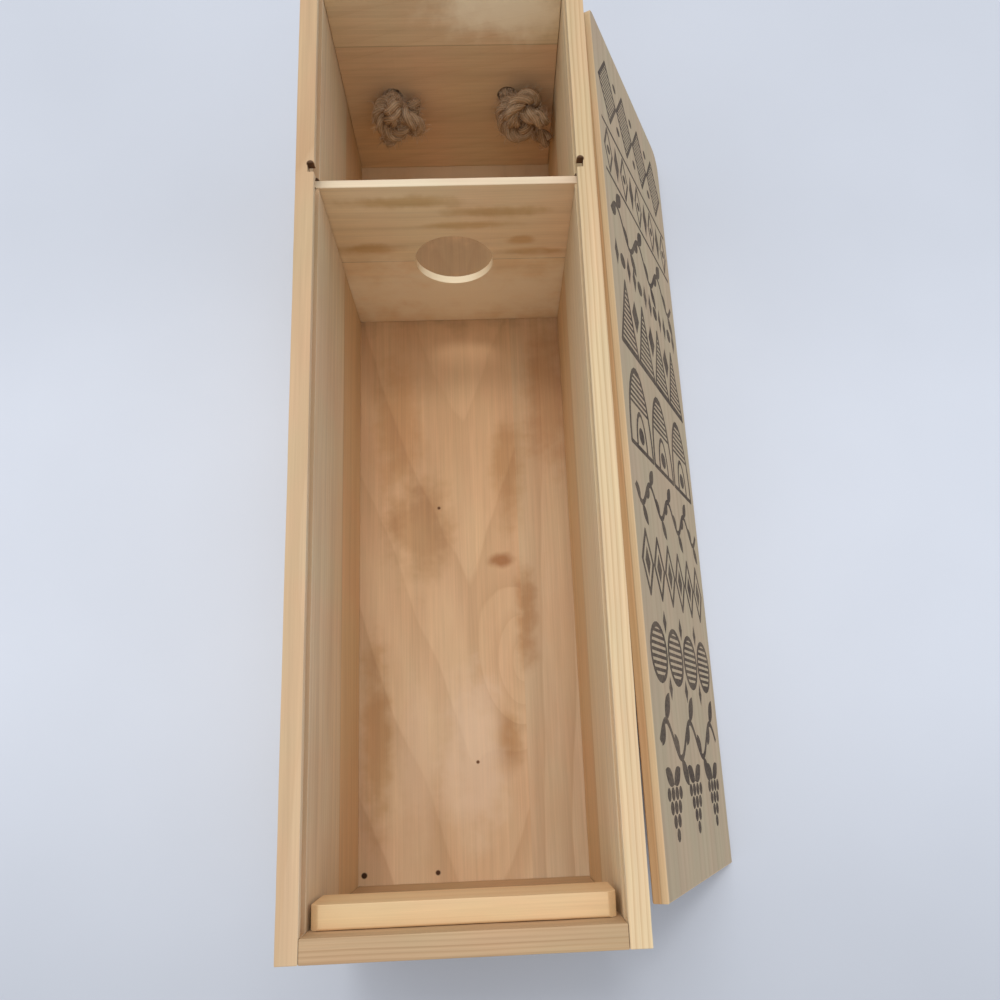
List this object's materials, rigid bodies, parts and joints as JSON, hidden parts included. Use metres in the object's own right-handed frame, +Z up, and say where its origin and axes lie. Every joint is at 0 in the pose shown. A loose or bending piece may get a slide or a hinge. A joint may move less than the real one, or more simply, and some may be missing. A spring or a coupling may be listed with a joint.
{
  "type": "wooden wine box with a sliding lid and a rope handle",
  "caption": "Open pine box for a single bottle on its back, with a divider holed for the neck, a foot block, a rope handle and its sliding lid leaning against its side.",
  "frame": {"origin": "centre of the back panel's outer face, on which the box lies", "axes": "+X to the box's right side, where the lid leans; +Y along its length towards the head end with the rope handle; +Z up, out of the open side"},
  "size_m": [0.1613, 0.4155, 0.108],
  "materials": {
    "pine_light": "raw sawn pine",
    "pine_warm": "raw sawn pine, orange",
    "lid_wood": "grey-beige washed pine with dark brown print",
    "jute": "twisted jute rope",
    "steel": "dull wire nails"
  },
  "bodies": {
    "root": {"left_side_board": "pine_light", "right_side_board": "pine_light", "back_panel": "pine_light", "foot_board": "pine_warm", "head_board": "pine_warm", "foot_block": "pine_light", "divider": "pine_warm", "lid": "lid_wood", "rope_handle": "jute", "left_knot": "jute", "right_knot": "jute", "side_nails": "steel", "back_nails": "steel"}
  },
  "joints": []
}
